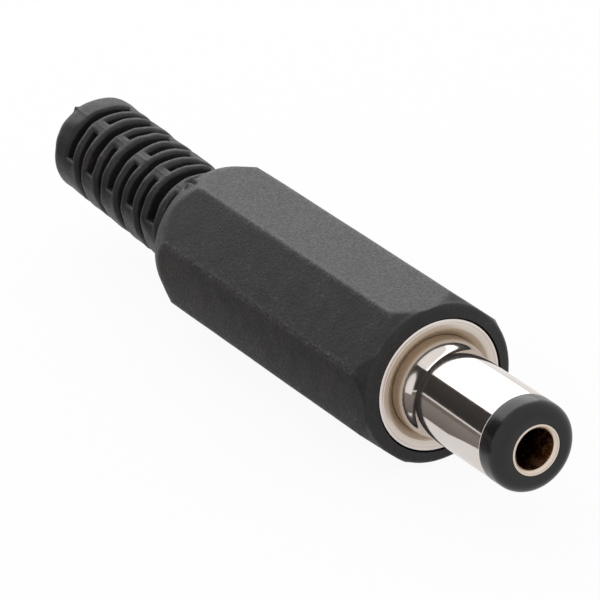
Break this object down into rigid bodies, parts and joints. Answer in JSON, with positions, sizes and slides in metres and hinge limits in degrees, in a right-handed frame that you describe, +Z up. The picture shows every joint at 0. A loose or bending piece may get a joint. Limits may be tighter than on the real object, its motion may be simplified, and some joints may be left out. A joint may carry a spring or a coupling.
{
  "type": "dc barrel plug",
  "caption": "Straight solder barrel plug with a screw-on octagonal cover that ends in a slotted strain relief for the cord.",
  "frame": {"origin": "on the plug's axis, in the plane of the collar's front face, where the plug stops against a socket", "axes": "+X along the axis towards the tip, +Z up, with one flat of the cover facing down and one facing up"},
  "size_m": [0.0511, 0.0098, 0.0098],
  "materials": {
    "cover_plastic": "black moulded thermoplastic with a fine spark-eroded texture",
    "nickel_plate": "bright nickel plating on turned brass",
    "tip_plastic": "black moulded insulator with a soft gloss",
    "contact_brass": "thinly plated brass tube, brass showing inside",
    "washer_fibre": "punched brown resin-bonded paper",
    "lug_brass": "tinned sheet brass, stamped"
  },
  "bodies": {
    "plug": {"collar": "nickel_plate", "barrel": "nickel_plate", "insulator": "tip_plastic", "contact": "contact_brass", "washer": "washer_fibre", "earth_lug": "lug_brass", "centre_lug": "lug_brass"},
    "cover": {"cover": "cover_plastic"}
  },
  "joints": [
    {"name": "cover_slide", "type": "slide", "parent": "plug", "child": "cover", "axis": [-1, 0, 0], "range_m": [0, 0.025]}
  ]
}
